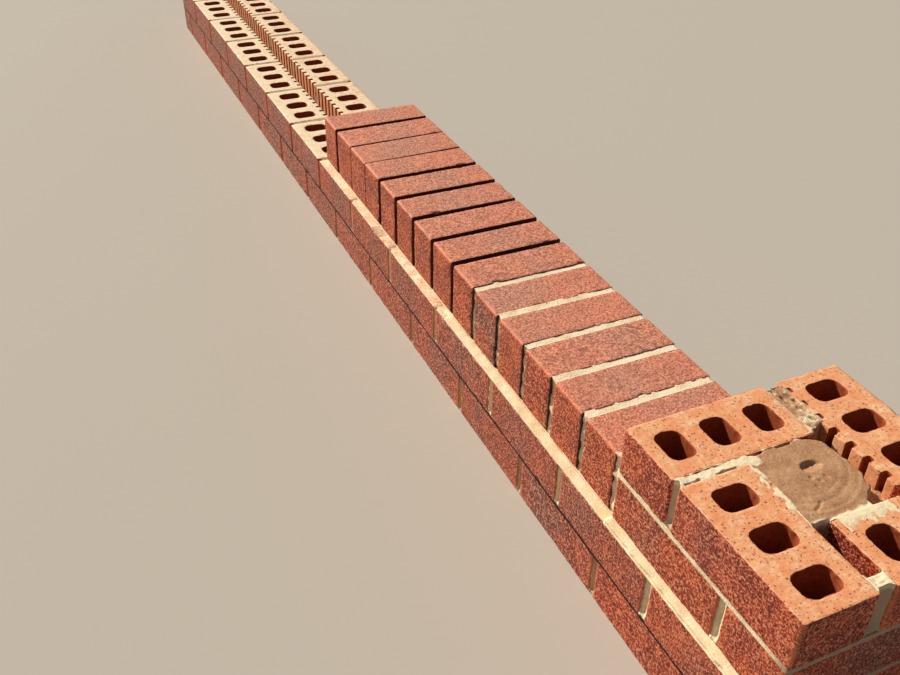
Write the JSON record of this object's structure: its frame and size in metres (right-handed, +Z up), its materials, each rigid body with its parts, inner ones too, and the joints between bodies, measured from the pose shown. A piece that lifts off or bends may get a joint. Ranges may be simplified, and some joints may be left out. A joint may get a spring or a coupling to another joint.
{
  "type": "brick garden wall",
  "caption": "Low cavity garden wall of perforated red bricks with a brick-on-edge coping, an open unfinished length and a square end pier.",
  "frame": {"origin": "centre of the plan, at ground level", "axes": "+X along the wall towards the pier, +Y from the street face to the garden face, +Z up"},
  "size_m": [3.142, 0.3524, 0.311],
  "materials": {
    "facing_brick": "red multi facing brick, dragwire texture",
    "brick_bed": "orange cut bed of a perforated brick",
    "mortar": "pale buff cement mortar, struck",
    "damp_bed": "dark recessed bed line",
    "core_mortar": "fresh mortar, trowelled flat"
  },
  "bodies": {
    "root": {"lower_course_front": "facing_brick", "lower_course_back": "facing_brick", "upper_course_front_open": "facing_brick", "upper_course_back_open": "facing_brick", "upper_course_front_coped": "facing_brick", "upper_course_back_coped": "facing_brick", "lower_joints_front": "mortar", "lower_joints_back": "mortar", "upper_joints_front": "mortar", "upper_joints_back": "mortar", "damp_bed_front": "damp_bed", "damp_bed_back": "damp_bed", "coping_brick_01": "facing_brick", "coping_brick_02": "facing_brick", "coping_brick_03": "facing_brick", "coping_brick_04": "facing_brick", "coping_brick_05": "facing_brick", "coping_brick_06": "facing_brick", "coping_brick_07": "facing_brick", "coping_brick_08": "facing_brick", "coping_brick_09": "facing_brick", "coping_brick_10": "facing_brick", "coping_brick_11": "facing_brick", "coping_brick_12": "facing_brick", "coping_brick_13": "facing_brick", "coping_brick_14": "facing_brick", "coping_joints": "mortar", "coping_bed_front": "mortar", "coping_bed_back": "mortar", "ledge_mortar": "mortar", "pier_course_1": "facing_brick", "pier_course_2": "facing_brick", "pier_course_3": "facing_brick", "pier_top_left": "brick_bed", "pier_top_front": "brick_bed", "pier_top_right": "brick_bed", "pier_top_back": "brick_bed", "pier_mortar_1": "mortar", "pier_mortar_2": "mortar", "pier_mortar_3": "mortar", "pier_core": "core_mortar", "pier_bed_1": "damp_bed", "pier_bed_2": "mortar", "pier_bed_3": "mortar"}
  },
  "joints": []
}
